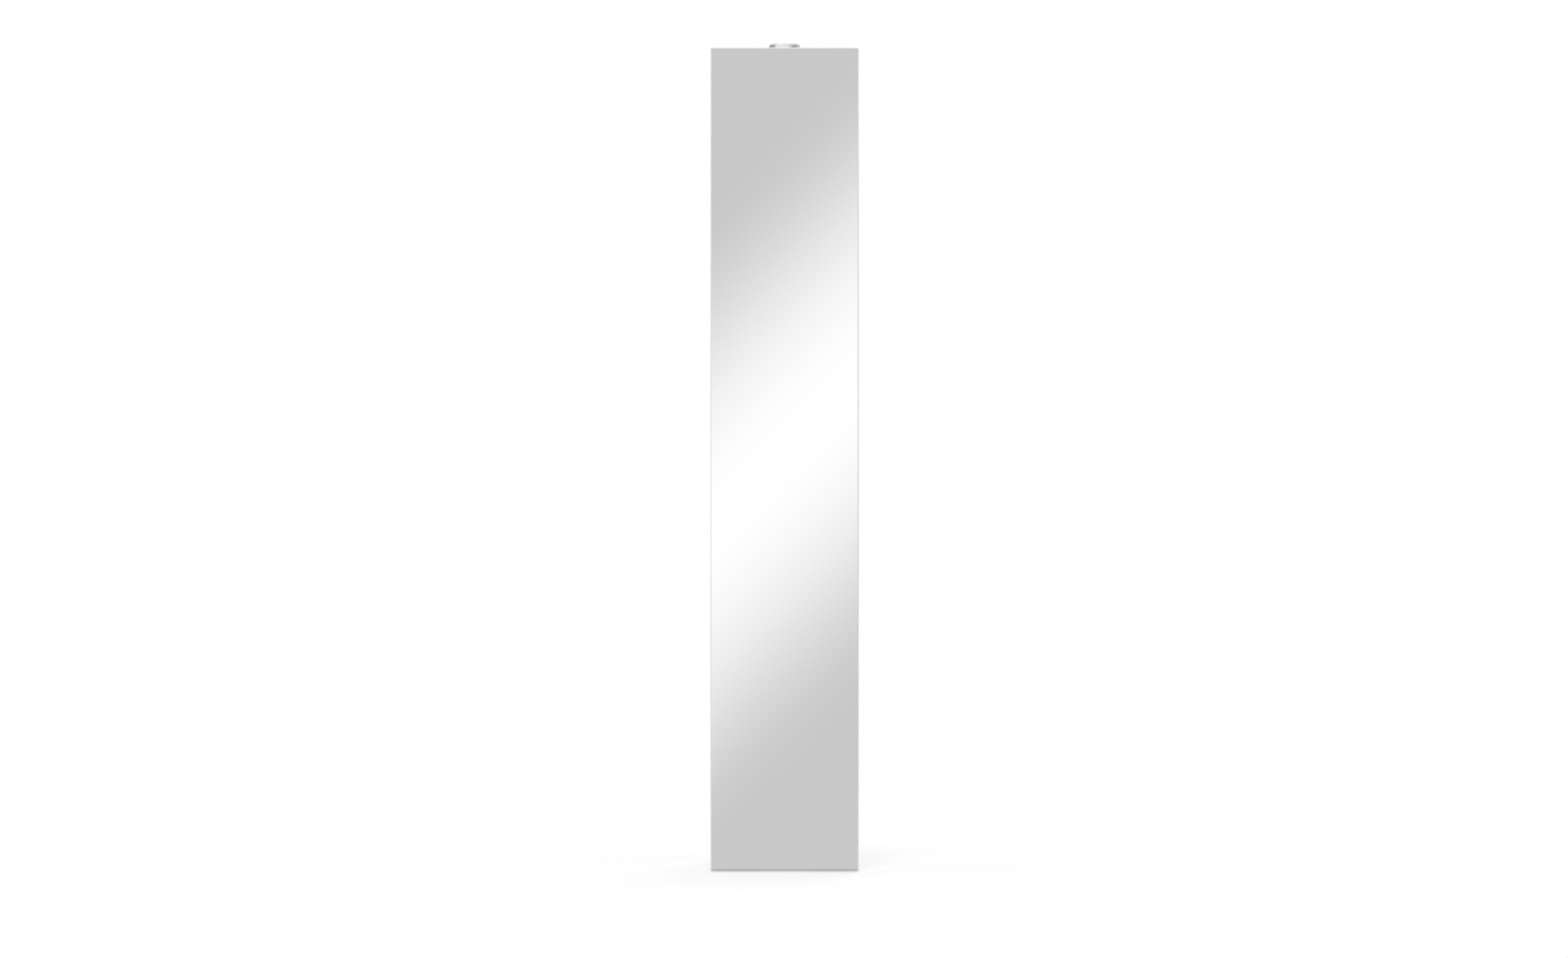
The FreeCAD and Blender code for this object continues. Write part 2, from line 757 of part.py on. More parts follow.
parts = {
    "shelf_pins": shelf_pins(),
    "left_side": finished("left_side", side_blank(-1)),
    "right_side": finished("right_side", side_blank(1)),
    "front_panel": finished("front_panel", front_panel_blank()),
    "top_panel": finished("top_panel", top_panel_blank()),
    "bottom_panel": finished("bottom_panel", bottom_panel_blank()),
    "fixed_shelf": finished("fixed_shelf", level_board(fixed_shelf_z)),
    "rear_plinth": rear_plinth(),
    "plinth_screws": group([screw(plinth_screw, point, UP) for point in plinth_screw_points()]),
    "cam_bolts": group(cam_bolts),
    "cam_nuts": group(cam_nuts),
    "cam_covers": group(cam_covers),
    "dowels": group(dowels),
    "side_edge_bands": side_edge_bands(),
    "top_edge_bands": top_edge_bands(),
    "shelf_edge_bands": shelf_edge_bands(),
    "mirror_glass": mirror_glass(),
    "mirror_tape": mirror_tape(),
    "mirror_ledge": mirror_ledge(),
    "ledge_screws": group([screw(ledge_screw, point, BACK) for point in ledge_screw_points()]),
    "floor_mat": disc(plate_radius - mat_inset, 0, mat_thickness),
    "floor_plate": floor_plate(),
    "outer_race": outer_race(),
    "inner_race": inner_race(),
    "lower_race_screws": group([screw(race_bolt, point, UP) for point in lower_screw_points()]),
    "upper_race_screws": group([screw(race_wood_screw, point, UP) for point in upper_screw_points()]),
    "ball_cage": ball_cage(),
    "bearing_balls": bearing_balls(),
    "pivot_plate": pivot_plate(),
    "pivot_plate_screws": group([screw(pivot_wood_screw, point, DOWN) for point in pivot_screw_points()]),
    "pivot_washer": pivot_washer(),
    "pivot_bush": pivot_bush(),
    "pivot_bolt": pivot_bolt(),
    "wall_bracket": wall_bracket(),
    "bracket_cap": bracket_cap(),
}
for index in loose_indexes:
    half_name = "lower" if index < fixed_index else "upper"
    number = index if index < fixed_index else index - fixed_index
    parts[f"{half_name}_shelf_{number}"] = loose_shelf(shelf_z(index))

os.makedirs("parts", exist_ok=True)
for name, shape in parts.items():
    shape.exportStep(f"parts/{name}.step")
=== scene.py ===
"""Rotating mirror cabinet: finishes for the turning column, and a plain white studio round it.

Metres, +Z up. The mirror faces -Y at rest and the wall is at +Y.
"""

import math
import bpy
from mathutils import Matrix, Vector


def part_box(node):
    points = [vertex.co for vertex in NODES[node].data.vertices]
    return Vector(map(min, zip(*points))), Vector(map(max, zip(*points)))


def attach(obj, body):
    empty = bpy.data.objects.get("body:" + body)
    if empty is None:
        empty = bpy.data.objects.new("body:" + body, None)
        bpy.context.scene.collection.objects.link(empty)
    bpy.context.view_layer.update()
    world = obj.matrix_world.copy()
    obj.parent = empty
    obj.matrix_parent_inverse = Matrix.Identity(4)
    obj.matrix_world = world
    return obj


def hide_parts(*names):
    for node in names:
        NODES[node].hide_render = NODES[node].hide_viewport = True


bl_info = {
    "name": "Rotating Mirror Cabinet",
    "version": (1, 0, 0),
    "blender": (4, 5, 0),
    "location": "View3D > Sidebar > Cabinet",
    "description": "Finishes the turning mirror column, its shelves, pivot and turntable, and lights it",
    "category": "Object",
}

import bmesh
import bpy
from bpy.props import FloatProperty, FloatVectorProperty, IntProperty, PointerProperty
from bpy.types import Operator, Panel, PropertyGroup
from mathutils import Matrix, Vector

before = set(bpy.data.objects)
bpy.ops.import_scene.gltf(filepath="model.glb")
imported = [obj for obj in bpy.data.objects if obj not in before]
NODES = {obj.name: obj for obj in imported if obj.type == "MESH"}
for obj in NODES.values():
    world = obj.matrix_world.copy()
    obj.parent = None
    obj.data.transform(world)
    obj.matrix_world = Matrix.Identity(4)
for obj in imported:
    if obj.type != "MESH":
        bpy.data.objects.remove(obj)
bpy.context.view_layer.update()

# Nodes that share a finish
UPRIGHT_BOARDS = ("left_side", "right_side", "front_panel", "rear_plinth")
LEVEL_BOARDS = (
    "top_panel", "bottom_panel", "fixed_shelf",
    "lower_shelf_1", "lower_shelf_2", "upper_shelf_1", "upper_shelf_2",
)
EDGE_BANDS = ("side_edge_bands", "top_edge_bands", "shelf_edge_bands")
SCREWS = ("lower_race_screws", "upper_race_screws", "plinth_screws", "ledge_screws", "pivot_plate_screws")

# Linear colours of the smaller pieces
LEDGE_ALUMINIUM = (0.58, 0.58, 0.59)
RACE_ALUMINIUM = (0.7, 0.7, 0.71)
PLATE_ZINC = (0.6, 0.62, 0.64)
SCREW_ZINC = (0.64, 0.65, 0.66)
CAST_ZINC = (0.52, 0.52, 0.53)
PIN_NICKEL = (0.7, 0.69, 0.66)
BALL_STEEL = (0.72, 0.72, 0.73)
BEARING_PLASTIC = (0.84, 0.83, 0.79)
FOAM = (0.82, 0.82, 0.79)
RUBBER = (0.2, 0.2, 0.2)
DARK_BEECH = (0.42, 0.26, 0.13)
PALE_BEECH = (0.68, 0.47, 0.28)

# Small lengths
FACING = 0.0002  # thickness of a board's white facing
LEDGE_EASING = 0.00015  # rounding of the ledge's sharp edges
PLATE_EASING = 0.0005  # rounding of the floor plate's sharp edges
FITTING_EASING = 0.0003  # rounding of the sharp edges of shelf pins and pivot plate
FLAT_RIM = 0.0003  # narrow ring that keeps the cap's top flat up to its rounding
WELD_REACH = 2e-6  # joins the loose triangles of a node
TOUCHING = 1e-6  # points nearer than this are one
ON_PLANE = 1e-7  # points nearer than this lie on a cutting plane

# Facets and angles
ROUND_STEPS = 12  # facets of the cap's rounded edge
EASED_STEPS = 3  # facets of an eased edge
FLAT_ANGLE = math.radians(0.2)  # faces that meet at less are one
SHARP_ANGLE = math.radians(40)  # edges that bend by more are eased
FLAT_NORMAL = 0.999  # a unit normal with more of Y looks straight ahead or back

# Lamps of the studio: name, place and watts
LAMPS = (
    ("key_lamp", (-1.4, -6.2, 4.2), 205.0),
    ("left_lamp", (-5.0, 1.0, 2.8), 72.0),
    ("right_lamp", (4.4, -1.5, 2.4), 51.0),
    ("back_lamp", (1.6, 5.0, 3.4), 120.0),
)
LAMP_SIZE = 2.4
LAMP_AIM = (0.0, 0.0, 0.95)


# Settings

def colour_property(name, description, default):
    """Linear colour that shows as a swatch."""
    return FloatVectorProperty(
        name=name, description=description, subtype="COLOR", size=3, min=0.0, max=1.0, default=default,
    )


def length_property(name, description, default, least=0.0):
    """Length in metres."""
    return FloatProperty(name=name, description=description, default=default, min=least, unit="LENGTH")


def level_property(name, description, default, most=10.0):
    """Brightness, roughness or share, from 0 up."""
    return FloatProperty(name=name, description=description, default=default, min=0.0, max=most)


def count_property(name, description, default, least, most):
    """Whole number between two limits."""
    return IntProperty(name=name, description=description, default=default, min=least, max=most)


class CarcassSettings(PropertyGroup):
    """White boards and their edging."""

    board_colour: colour_property("Board", "White melamine facing of the boards", (0.83, 0.83, 0.82))
    edging_colour: colour_property("Edging", "Plastic edging of the boards", (0.865, 0.865, 0.855))
    core_colour: colour_property("Core", "Chipboard seen in holes and on raw edges", (0.36, 0.23, 0.12))
    board_roughness: level_property("Board roughness", "Satin gloss of the melamine", 0.42, most=1.0)


class MirrorSettings(PropertyGroup):
    """Silvered pane on the front."""

    silver_colour: colour_property("Silver", "Reflection of the silvered face", (0.9, 0.9, 0.9))
    edge_colour: colour_property("Glass edge", "Ground edge of the float glass", (0.68, 0.77, 0.73))
    backing_colour: colour_property("Backing", "Lacquer behind the silver", (0.22, 0.24, 0.25))
    arris: length_property("Arris", "Width of the ground edge", 0.0006)
    silver_roughness: level_property("Silver roughness", "Blur of the reflection", 0.012, most=1.0)


class PivotSettings(PropertyGroup):
    """Round cap and bracket above the top."""

    chrome_colour: colour_property("Chrome", "Plating of the cap", (0.84, 0.85, 0.86))
    nickel_colour: colour_property("Nickel", "Satin plating of the bracket", (0.66, 0.65, 0.63))
    cap_wall: length_property("Cap wall", "Thickness of the drawn cap", 0.0015, least=0.0002)
    cap_round: length_property("Cap rounding", "Radius of the cap's upper edge", 0.005)
    cap_steps: count_property("Cap steps", "Facets round the cap", 192, least=24, most=720)
    rib_count: count_property("Ribs", "Ribs inside the cap", 4, least=0, most=24)
    rib_reach: length_property("Rib reach", "Ribs inward from the cap's wall", 0.009)
    rib_thickness: length_property("Rib thickness", "Thickness of the ribs", 0.0015)
    arm_width: length_property("Arm width", "Width of the bracket's bar", 0.04)
    notch_gap: length_property("Notch gap", "Play between the cap's notch and the bar", 0.0005)
    bracket_easing: length_property("Bracket easing", "Rounding of the bar's edges", 0.0006)


class StudioSettings(PropertyGroup):
    """Camera and surroundings; the band is measured on the mirror, its rise from the camera's height."""

    camera_distance: length_property("Distance", "Camera to the mirror", 11.0, least=1.0)
    camera_height: length_property("Height", "Camera above the floor", 0.8999)
    camera_side: length_property("Side", "Camera to the right of the middle", -0.0012, least=-10.0)
    frame_width: length_property("Frame width", "Width of the picture at the mirror", 3.5888, least=0.1)
    floor_radius: length_property("Floor radius", "Pale floor that fades to white", 0.85, least=0.1)
    floor_lift: level_property("Floor lift", "White that the camera sees in the floor", 0.6, most=1.0)
    room_level: level_property("Room level", "Soft light from all round", 0.6)
    grey_level: level_property("Grey level", "Plain surroundings that the mirror reflects", 0.642)
    band_rise: length_property("Band rise", "Height of the light band's middle", 0.057, least=-10.0)
    band_reach: length_property("Band reach", "Upright half width of the light band", 0.736, least=0.01)
    band_level: level_property("Band level", "Middle of the slanting light band", 1.112)
    flank_level: level_property("Flank level", "Dark walls that the cap reflects", 0.31)
    panel_level: level_property("Panel level", "Pale panel that the cap reflects", 0.94)
    stripe_level: level_property("Stripe level", "Stripes that a turned mirror reflects", 0.32)
    overhead_level: level_property("Overhead level", "Light from above that metal reflects", 0.5)


# Shader arithmetic

class Wire:
    """One shader value that takes part in Python arithmetic."""

    def __init__(self, shader, socket):
        self.shader = shader
        self.socket = socket

    def __add__(self, other):
        return self.shader.maths("ADD", self, other)

    def __sub__(self, other):
        return self.shader.maths("SUBTRACT", self, other)

    def __rsub__(self, other):
        return self.shader.maths("SUBTRACT", other, self)

    def __mul__(self, other):
        return self.shader.maths("MULTIPLY", self, other)

    def __truediv__(self, other):
        return self.shader.maths("DIVIDE", self, other)

    def __lt__(self, other):
        return self.shader.maths("LESS_THAN", self, other)

    def __abs__(self):
        return self.shader.maths("ABSOLUTE", self)


class Shader:
    """A node tree that is filled node by node."""

    def __init__(self, tree):
        self.tree = tree
        tree.nodes.clear()

    def add(self, kind, inputs=None, settings=None, output=0):
        """Adds a node, sets it up, then fills its sockets with values or wires; gives one output."""
        made = self.tree.nodes.new(kind)
        for name, value in (settings or {}).items():
            setattr(made, name, value)
        for key, value in (inputs or {}).items():
            if isinstance(value, Wire):
                self.tree.links.new(value.socket, made.inputs[key])
            else:
                made.inputs[key].default_value = value
        return Wire(self, made.outputs[output]) if len(made.outputs) else None

    def maths(self, operation, first, second=None):
        inputs = {0: first} if second is None else {0: first, 1: second}
        return self.add("ShaderNodeMath", inputs, {"operation": operation})

    def smooth(self, value, low, high):
        """Soft step from 0 at low to 1 at high."""
        inputs = {"Value": value, "From Min": low, "From Max": high}
        return self.add("ShaderNodeMapRange", inputs, {"interpolation_type": "SMOOTHSTEP"})

    def fade(self, value, low, high):
        """Soft step from 1 at low to 0 at high."""
        return 1.0 - self.smooth(value, low, high)

    def split(self, vector):
        """The X, Y and Z of a vector."""
        parts = self.tree.nodes.new("ShaderNodeSeparateXYZ")
        self.tree.links.new(vector.socket, parts.inputs[0])
        return [Wire(self, output) for output in parts.outputs]

    def axis_distance(self, vector):
        """Distance from the upright axis."""
        across, along = self.split(vector)[:2]
        return self.maths("SQRT", across * across + along * along)

    def noise(self, vector, scale, detail=2.0):
        return self.add("ShaderNodeTexNoise", {"Vector": vector, "Scale": scale, "Detail": detail})

    def streaks(self, vector, per_metre, detail=2.0):
        """Noise drawn out along an axis; per_metre gives its frequency along each axis."""
        stretched = self.add("ShaderNodeMapping", {"Vector": vector, "Scale": per_metre})
        return self.noise(stretched, 1.0, detail)

    def around(self, pattern, middle, width):
        """A pattern from 0 to 1, brought to a width round a middle value."""
        return pattern * width + (middle - width / 2)

    def blend(self, factor, first, second):
        """Mix of two colours."""
        inputs = {0: factor, 6: opaque(first), 7: opaque(second)}
        return self.add("ShaderNodeMix", inputs, {"data_type": "RGBA"}, output=2)

    def vary(self, factor, colour, darkest, palest):
        """A colour that goes from a darker to a paler tone of itself."""
        return self.blend(factor, shade(colour, darkest), shade(colour, palest))

    def bump(self, height, strength, depth):
        return self.add("ShaderNodeBump", {"Strength": strength, "Distance": depth, "Height": height})

    def surface(self, inputs):
        """Principled surface as the material's output."""
        self.finish(self.add("ShaderNodeBsdfPrincipled", inputs))

    def finish(self, surface, output="ShaderNodeOutputMaterial"):
        self.add(output, {"Surface": surface})


def opaque(colour):
    """A colour with full alpha, or a wire as it is."""
    return colour if isinstance(colour, Wire) else (*colour[:3], 1.0)


def shade(colour, factor):
    """A colour made lighter or darker."""
    return tuple(min(1.0, channel * factor) for channel in colour)


def tinted(colour, red, blue):
    """A colour with its red and blue made stronger or weaker."""
    return (min(1.0, colour[0] * red), colour[1], min(1.0, colour[2] * blue))


def new_material(name):
    """A new material, its empty shader, and the place of each point on the object."""
    material = bpy.data.materials.new(name)
    material.use_nodes = True
    shader = Shader(material.node_tree)
    return material, shader, shader.add("ShaderNodeTexCoord", output="Object")


def dress(material, *nodes):
    """Gives CAD nodes a material."""
    for name in nodes:
        mesh = NODES[name].data
        mesh.materials.clear()
        mesh.materials.append(material)


def ease(width, *nodes):
    """Breaks the sharp edges of CAD nodes: joins their triangles, clears flat faces, then bevels."""
    for name in nodes:
        modifiers = NODES[name].modifiers
        weld = modifiers.new("weld", "WELD")
        weld.merge_threshold = WELD_REACH
        flat = modifiers.new("flat_faces", "DECIMATE")
        flat.decimate_type = "DISSOLVE"
        flat.angle_limit = FLAT_ANGLE
        edges = modifiers.new("eased_edges", "BEVEL")
        edges.width = width
        edges.segments = EASED_STEPS
        edges.limit_method = "ANGLE"
        edges.angle_limit = SHARP_ANGLE
        edges.harden_normals = True


# Board finishes

def chipboard(shader, place, core):
    """Pressed flakes, pale and dark, a millimetre or two across."""
    flakes_per_metre = 700.0
    inputs = {"Vector": place, "Scale": flakes_per_metre}
    flakes = shader.add("ShaderNodeTexVoronoi", inputs, output="Color")
    tone = shader.add("ShaderNodeSeparateColor", {0: flakes})
    return shader.vary(tone, core, darkest=0.55, palest=1.7)


def bored_out(shader, place, low, high):
    """1 inside the holes of a board: deeper than its facing from every side of its box."""
    inward = []
    for axis, near, far in zip(shader.split(place), low, high):
        inward.append((far - near) / 2 - abs(axis - (near + far) / 2))
    nearest = shader.maths("MINIMUM", shader.maths("MINIMUM", inward[0], inward[1]), inward[2])
    return 1.0 - (nearest < FACING)


def board_material(carcass, name, upright):
    """White facing with a fine pearl; bare chipboard in holes and on the lower ends of uprights."""
    material, shader, place = new_material(f"white_{name}")
    low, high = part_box(name)
    raw = bored_out(shader, place, low, high)
    if upright:
        lower_end = shader.split(place)[2] < low.z + FACING
        raw = shader.maths("MAXIMUM", raw, lower_end)
    raw_roughness = raw * 0.45
    cloud = shader.noise(place, scale=9.0, detail=3.0)
    pearl = shader.noise(place, scale=1400.0)
    facing = shader.vary(cloud, carcass.board_colour, darkest=0.975, palest=1.02)
    core = chipboard(shader, place, carcass.core_colour)
    shader.surface({
        "Base Color": shader.blend(raw, facing, core),
        "Roughness": raw_roughness + shader.around(cloud, carcass.board_roughness, width=0.08),
        "Specular IOR Level": 0.45,
        "Normal": shader.bump(pearl, strength=0.18, depth=0.0002),
    })
    return material


def edging_material(carcass):
    """Plastic edging, a little glossier than the boards, with faint scraper marks along it."""
    material, shader, place = new_material("edging_plastic")
    marks = shader.streaks(place, per_metre=(900.0, 900.0, 12.0))
    cloud = shader.noise(place, scale=14.0)
    shader.surface({
        "Base Color": shader.vary(cloud, carcass.edging_colour, darkest=0.97, palest=1.01),
        "Roughness": shader.around(marks, middle=0.35, width=0.1),
        "Specular IOR Level": 0.5,
        "Normal": shader.bump(marks, strength=0.08, depth=0.0002),
    })
    return material


def moulded_material(name, colour, roughness, grain):
    """Moulded plastic with fine spark texture; grain gives its frequency per metre."""
    material, shader, place = new_material(name)
    spark = shader.noise(place, scale=grain)
    cloud = shader.noise(place, scale=60.0)
    shader.surface({
        "Base Color": shader.vary(cloud, colour, darkest=0.94, palest=1.03),
        "Roughness": shader.around(spark, roughness, width=0.14),
        "Specular IOR Level": 0.5,
        "Normal": shader.bump(spark, strength=0.2, depth=0.0001),
    })
    return material


class CABINET_OT_carcass(Operator):
    """Finish the boards and their edging"""

    bl_idname = "mirror_cabinet.carcass"
    bl_label = "Finish Carcass"

    def execute(self, context):
        carcass = context.scene.mirror_cabinet_carcass
        for name in UPRIGHT_BOARDS + LEVEL_BOARDS:
            dress(board_material(carcass, name, name in UPRIGHT_BOARDS), name)
        dress(edging_material(carcass), *EDGE_BANDS)
        cover_colour = shade(carcass.edging_colour, 0.95)
        dress(moulded_material("cover_plastic", cover_colour, roughness=0.4, grain=2200.0), "cam_covers")
        return {"FINISHED"}


# Mirror

def silver_material(mirror):
    """Silvered face: nearly clear reflection, with the faintest wiping marks."""
    material, shader, place = new_material("mirror_silver")
    wipes = shader.streaks(place, per_metre=(6.0, 6.0, 2.0), detail=3.0)
    smear_roughness = shader.smooth(wipes, low=0.35, high=0.75) * 0.006
    shader.surface({
        "Base Color": shader.vary(wipes, mirror.silver_colour, darkest=0.997, palest=1.003),
        "Metallic": 1.0,
        "Roughness": smear_roughness + mirror.silver_roughness,
    })
    return material


def glass_edge_material(mirror):
    """Ground and polished float glass edge, with fine lines along the rim."""
    material, shader, place = new_material("glass_edge")
    lines = shader.streaks(place, per_metre=(40.0, 3000.0, 40.0))
    shader.surface({
        "Base Color": shader.vary(lines, mirror.edge_colour, darkest=0.7, palest=1.25),
        "Roughness": shader.around(lines, middle=0.195, width=0.15),
        "Specular IOR Level": 0.5,
        "Coat Weight": 0.5,
        "Coat Roughness": 0.08,
    })
    return material


def backing_material(mirror):
    """Sprayed protective lacquer with a slight orange peel."""
    material, shader, place = new_material("mirror_backing")
    peel = shader.noise(place, scale=350.0)
    cloud = shader.noise(place, scale=20.0)
    shader.surface({
        "Base Color": shader.vary(cloud, mirror.backing_colour, darkest=0.85, palest=1.1),
        "Roughness": shader.around(peel, middle=0.5, width=0.1),
        "Normal": shader.bump(peel, strength=0.3, depth=0.0003),
    })
    return material


def box_bmesh(low, high):
    """Block between two corners."""
    mesh = bmesh.new()
    size = Matrix.Diagonal((*(high - low), 1.0))
    middle = Matrix.Translation((high + low) / 2)
    bmesh.ops.create_cube(mesh, size=1.0, matrix=middle @ size)
    return mesh


def new_piece(name, mesh, materials, smooth_angle):
    """Object from a bmesh, smooth except where faces meet at more than an angle."""
    bmesh.ops.recalc_face_normals(mesh, faces=mesh.faces)
    data = bpy.data.meshes.new(name)
    mesh.to_mesh(data)
    mesh.free()
    for material in materials:
        data.materials.append(material)
    data.shade_smooth()
    data.set_sharp_from_angle(angle=smooth_angle)
    piece = bpy.data.objects.new(name, data)
    bpy.context.scene.collection.objects.link(piece)
    return piece


def mirror_pane(mirror):
    """Pane with ground edges: silver in front, lacquer behind, bare glass round the rim."""
    silver, rim, backing = range(3)
    mesh = box_bmesh(*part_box("mirror_glass"))
    rims = [edge for edge in mesh.edges if abs(edge.verts[0].co.y - edge.verts[1].co.y) < TOUCHING]
    bmesh.ops.bevel(
        mesh, geom=rims, offset=mirror.arris, offset_type="OFFSET", affect="EDGES",
        segments=EASED_STEPS, profile=0.5, material=-1,
    )
    bmesh.ops.recalc_face_normals(mesh, faces=mesh.faces)
    for face in mesh.faces:
        if face.normal.y < -FLAT_NORMAL:
            face.material_index = silver
        elif face.normal.y > FLAT_NORMAL:
            face.material_index = backing
        else:
            face.material_index = rim
    materials = (silver_material(mirror), glass_edge_material(mirror), backing_material(mirror))
    return new_piece("mirror_pane", mesh, materials, smooth_angle=math.radians(5))


def drawn_aluminium_material(name, colour):
    """Satin anodised section with die lines along X."""
    material, shader, place = new_material(name)
    lines = shader.streaks(place, per_metre=(8.0, 4000.0, 4000.0), detail=3.0)
    shader.surface({
        "Base Color": shader.vary(lines, colour, darkest=0.9, palest=1.06),
        "Metallic": 1.0,
        "Roughness": shader.around(lines, middle=0.34, width=0.16),
        "Normal": shader.bump(lines, strength=0.12, depth=0.0001),
    })
    return material


def foam_material():
    """Closed-cell foam tape."""
    material, shader, place = new_material("foam_tape")
    cells_per_metre = 2500.0
    cells = shader.add("ShaderNodeTexVoronoi", {"Vector": place, "Scale": cells_per_metre})
    shader.surface({
        "Base Color": shader.vary(cells, FOAM, darkest=0.8, palest=1.0),
        "Roughness": 0.9,
        "Normal": shader.bump(cells, strength=0.4, depth=0.0003),
    })
    return material


class CABINET_OT_mirror(Operator):
    """Make the silvered pane and finish the ledge that carries it"""

    bl_idname = "mirror_cabinet.mirror"
    bl_label = "Make Mirror"

    def execute(self, context):
        mirror = context.scene.mirror_cabinet_mirror
        pane = mirror_pane(mirror)
        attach(pane, "cabinet")
        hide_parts("mirror_glass")
        dress(drawn_aluminium_material("ledge_aluminium", LEDGE_ALUMINIUM), "mirror_ledge")
        ease(LEDGE_EASING, "mirror_ledge")
        dress(foam_material(), "mirror_tape")
        return {"FINISHED"}


# Cap, bracket and pivot

def chrome_material(pivot):
    """Bright plating with faint polishing haze."""
    material, shader, place = new_material("bright_chrome")
    haze = shader.noise(place, scale=160.0, detail=3.0)
    shader.surface({
        "Base Color": shader.vary(haze, pivot.chrome_colour, darkest=0.985, palest=1.01),
        "Metallic": 1.0,
        "Roughness": shader.around(haze, middle=0.045, width=0.03),
    })
    return material


def brushed_material(name, colour, roughness, per_metre):
    """Plated steel with fine lines; per_metre gives their frequency along each axis."""
    material, shader, place = new_material(name)
    lines = shader.streaks(place, per_metre, detail=3.0)
    cloud = shader.noise(place, scale=35.0)
    tone = cloud * 0.5 + lines * 0.5
    clouded = shader.around(cloud, middle=0.0, width=0.08)
    shader.surface({
        "Base Color": shader.vary(tone, colour, darkest=0.86, palest=1.1),
        "Metallic": 1.0,
        "Roughness": clouded + shader.around(lines, roughness, width=0.14),
        "Normal": shader.bump(lines, strength=0.1, depth=0.0001),
    })
    return material


def cap_shell(pivot):
    """Drawn cup spun from its outline, open below."""
    low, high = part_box("bracket_cap")
    radius = (high.x - low.x) / 2
    bend = pivot.cap_round
    outline = [Vector((0.0, 0.0, high.z)), Vector((radius - bend - FLAT_RIM, 0.0, high.z))]
    for k in range(ROUND_STEPS + 1):
        turn = math.radians(90.0 * k / ROUND_STEPS)
        outward = radius - bend + bend * math.sin(turn)
        height = high.z - bend + bend * math.cos(turn)
        outline.append(Vector((outward, 0.0, height)))
    outline.append(Vector((radius, 0.0, low.z)))

    mesh = bmesh.new()
    points = [mesh.verts.new(point) for point in outline]
    edges = [mesh.edges.new(pair) for pair in zip(points, points[1:])]
    bmesh.ops.spin(
        mesh, geom=points + edges, cent=(0.0, 0.0, 0.0), axis=(0.0, 0.0, 1.0), angle=math.tau,
        steps=pivot.cap_steps, use_merge=True,
    )
    bmesh.ops.remove_doubles(mesh, verts=mesh.verts, dist=TOUCHING)
    bmesh.ops.recalc_face_normals(mesh, faces=mesh.faces)
    return mesh


def lower_rear(mesh, top):
    """Faces behind the middle and below a height."""
    found = []
    for face in mesh.faces:
        middle = face.calc_center_median()
        if middle.y > 0 and middle.z < top:
            found.append(face)
    return found


def cut_notch(mesh, half_width, top):
    """Opens the rear of the skirt for the bracket's arm."""
    upward = Vector((0.0, 0.0, 1.0))
    sideways = Vector((1.0, 0.0, 0.0))
    everything = mesh.verts[:] + mesh.edges[:] + mesh.faces[:]
    bmesh.ops.bisect_plane(mesh, geom=everything, dist=ON_PLANE, plane_co=upward * top, plane_no=upward)
    for side in (half_width, -half_width):
        faces = lower_rear(mesh, top)
        edges = dict.fromkeys(edge for face in faces for edge in face.edges)
        verts = dict.fromkeys(vert for face in faces for vert in face.verts)
        bmesh.ops.bisect_plane(
            mesh, geom=[*verts, *edges, *faces], dist=ON_PLANE,
            plane_co=sideways * side, plane_no=sideways,
        )
    inside = [face for face in lower_rear(mesh, top) if abs(face.calc_center_median().x) < half_width]
    bmesh.ops.delete(mesh, geom=inside, context="FACES")


def add_ribs(mesh, pivot, bottom):
    """Upright ribs on the bracket's head, which end inside the cap's wall and follow its rounding."""
    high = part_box("bracket_cap")[1]
    outer = high.x - pivot.cap_wall / 2
    inner = high.x - pivot.cap_wall - pivot.rib_reach
    top = high.z - pivot.cap_wall / 2
    size = Matrix.Diagonal((outer - inner, pivot.rib_thickness, top - bottom, 1.0))
    middle = Matrix.Translation(((outer + inner) / 2, 0.0, (top + bottom) / 2))
    upper_corner = Vector((outer, top))
    for k in range(pivot.rib_count):
        made = bmesh.ops.create_cube(mesh, size=1.0, matrix=middle @ size)
        ends = [vert for vert in made["verts"] if (vert.co.xz - upper_corner).length < TOUCHING]
        rounded = bmesh.ops.bevel(
            mesh, geom=[mesh.edges.get(ends)], offset=pivot.cap_round - pivot.cap_wall / 2,
            offset_type="OFFSET", affect="EDGES", segments=ROUND_STEPS, profile=0.5, material=-1,
        )
        turn = Matrix.Rotation(math.tau * (k + 0.5) / pivot.rib_count, 4, "Z")
        verts = {vert for vert in made["verts"] + rounded["verts"] if vert.is_valid}
        bmesh.ops.transform(mesh, matrix=turn, verts=list(verts))


def cap_piece(pivot):
    """The notched cap with its wall and ribs."""
    mesh = cap_shell(pivot)
    arm_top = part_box("wall_bracket")[1].z
    cut_notch(mesh, pivot.arm_width / 2 + pivot.notch_gap, arm_top + pivot.notch_gap)
    bmesh.ops.solidify(mesh, geom=mesh.faces[:], thickness=pivot.cap_wall)
    add_ribs(mesh, pivot, arm_top)
    return new_piece("chrome_cap", mesh, (chrome_material(pivot),), smooth_angle=math.radians(50))


class CABINET_OT_pivot(Operator):
    """Make the round cap and finish the bracket and pivot under it"""

    bl_idname = "mirror_cabinet.pivot"
    bl_label = "Make Pivot"

    def execute(self, context):
        pivot = context.scene.mirror_cabinet_pivot
        cap = cap_piece(pivot)
        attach(cap, "stand")
        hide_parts("bracket_cap")
        lines = (2600.0, 14.0, 14.0)
        nickel = brushed_material("satin_nickel", pivot.nickel_colour, roughness=0.34, per_metre=lines)
        dress(nickel, "wall_bracket")
        ease(pivot.bracket_easing, "wall_bracket")
        plastic = moulded_material("bearing_plastic", BEARING_PLASTIC, roughness=0.38, grain=1800.0)
        dress(plastic, "pivot_washer", "pivot_bush", "ball_cage")
        return {"FINISHED"}


